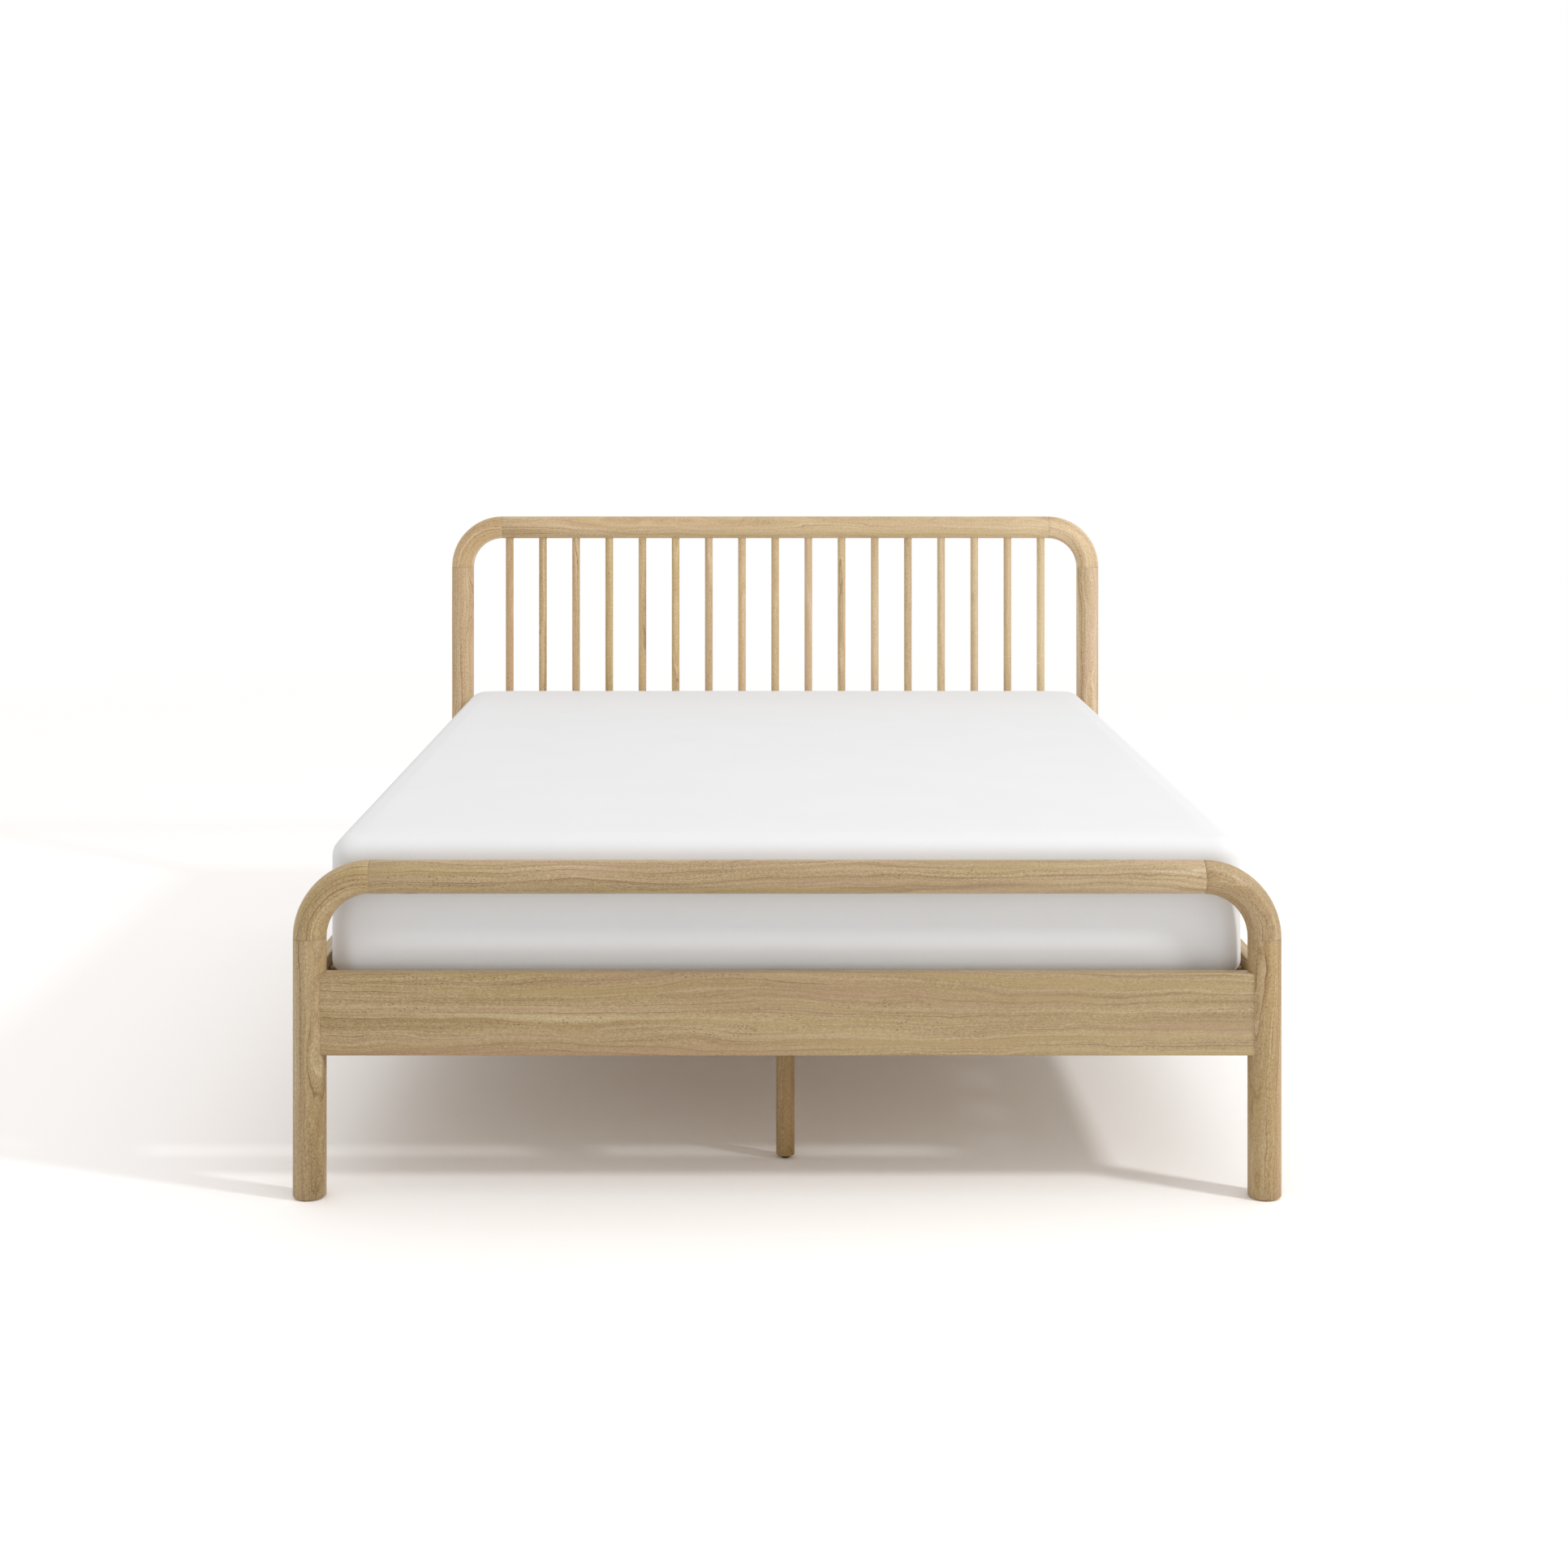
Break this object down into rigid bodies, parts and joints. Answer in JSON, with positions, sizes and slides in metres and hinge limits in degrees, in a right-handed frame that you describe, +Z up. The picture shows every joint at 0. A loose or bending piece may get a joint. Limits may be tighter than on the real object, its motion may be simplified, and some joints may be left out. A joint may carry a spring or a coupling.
{
  "type": "spindle bed",
  "caption": "Solid wood double bed: round posts and rails with bent corners, a headboard of round spindles, board rails, a slatted base and a mattress.",
  "frame": {"origin": "on the floor, at the middle of the bed", "axes": "+Z up, +Y from the foot of the bed towards the head, +X to the right seen from the foot"},
  "size_m": [1.626, 2.134, 1.016],
  "materials": {
    "frame_wood": "satin lacquer over honey-coloured solid hardwood, grain along each piece",
    "base_wood": "planed, unfinished pale softwood",
    "mattress_cover": "smooth white stretch knit",
    "zinc_steel": "bright zinc plate",
    "black_plastic": "matt moulded black",
    "glide_plastic": "matt moulded dark brown"
  },
  "bodies": {
    "bed_frame": {"beam_hangers": "zinc_steel", "bracket_bolts": "zinc_steel", "centre_beam": "base_wood", "centre_leg_front": "frame_wood", "centre_leg_middle": "frame_wood", "centre_leg_rear": "frame_wood", "corner_brackets": "zinc_steel", "foot_bends": "frame_wood", "foot_post_left": "frame_wood", "foot_post_right": "frame_wood", "foot_rail": "frame_wood", "foot_top_rail": "frame_wood", "head_bends": "frame_wood", "head_post_left": "frame_wood", "head_post_right": "frame_wood", "head_rail": "frame_wood", "head_top_rail": "frame_wood", "leg_hanger_bolts": "zinc_steel", "post_glides": "glide_plastic", "side_rail_left": "frame_wood", "side_rail_right": "frame_wood", "slat_01": "base_wood", "slat_02": "base_wood", "slat_03": "base_wood", "slat_04": "base_wood", "slat_05": "base_wood", "slat_06": "base_wood", "slat_07": "base_wood", "slat_08": "base_wood", "slat_09": "base_wood", "slat_10": "base_wood", "slat_ledger_left": "base_wood", "slat_ledger_right": "base_wood", "spindle_01": "frame_wood", "spindle_02": "frame_wood", "spindle_03": "frame_wood", "spindle_04": "frame_wood", "spindle_05": "frame_wood", "spindle_06": "frame_wood", "spindle_07": "frame_wood", "spindle_08": "frame_wood", "spindle_09": "frame_wood", "spindle_10": "frame_wood", "spindle_11": "frame_wood", "spindle_12": "frame_wood", "spindle_13": "frame_wood", "spindle_14": "frame_wood", "spindle_15": "frame_wood", "spindle_16": "frame_wood", "spindle_17": "frame_wood"},
    "leveller_front": {"leveller_front": "black_plastic"},
    "leveller_middle": {"leveller_middle": "black_plastic"},
    "leveller_rear": {"leveller_rear": "black_plastic"},
    "mattress_body": {"mattress": "mattress_cover"}
  },
  "joints": [
    {"name": "leveller_front_screw", "type": "slide", "parent": "bed_frame", "child": "leveller_front", "axis": [0, 0, -1], "range_m": [0, 0.01]},
    {"name": "leveller_middle_screw", "type": "slide", "parent": "bed_frame", "child": "leveller_middle", "axis": [0, 0, -1], "range_m": [0, 0.01]},
    {"name": "leveller_rear_screw", "type": "slide", "parent": "bed_frame", "child": "leveller_rear", "axis": [0, 0, -1], "range_m": [0, 0.01]},
    {"name": "mattress_lift", "type": "slide", "parent": "bed_frame", "child": "mattress_body", "axis": [0, 0, 1], "range_m": [0, 0.25]}
  ]
}
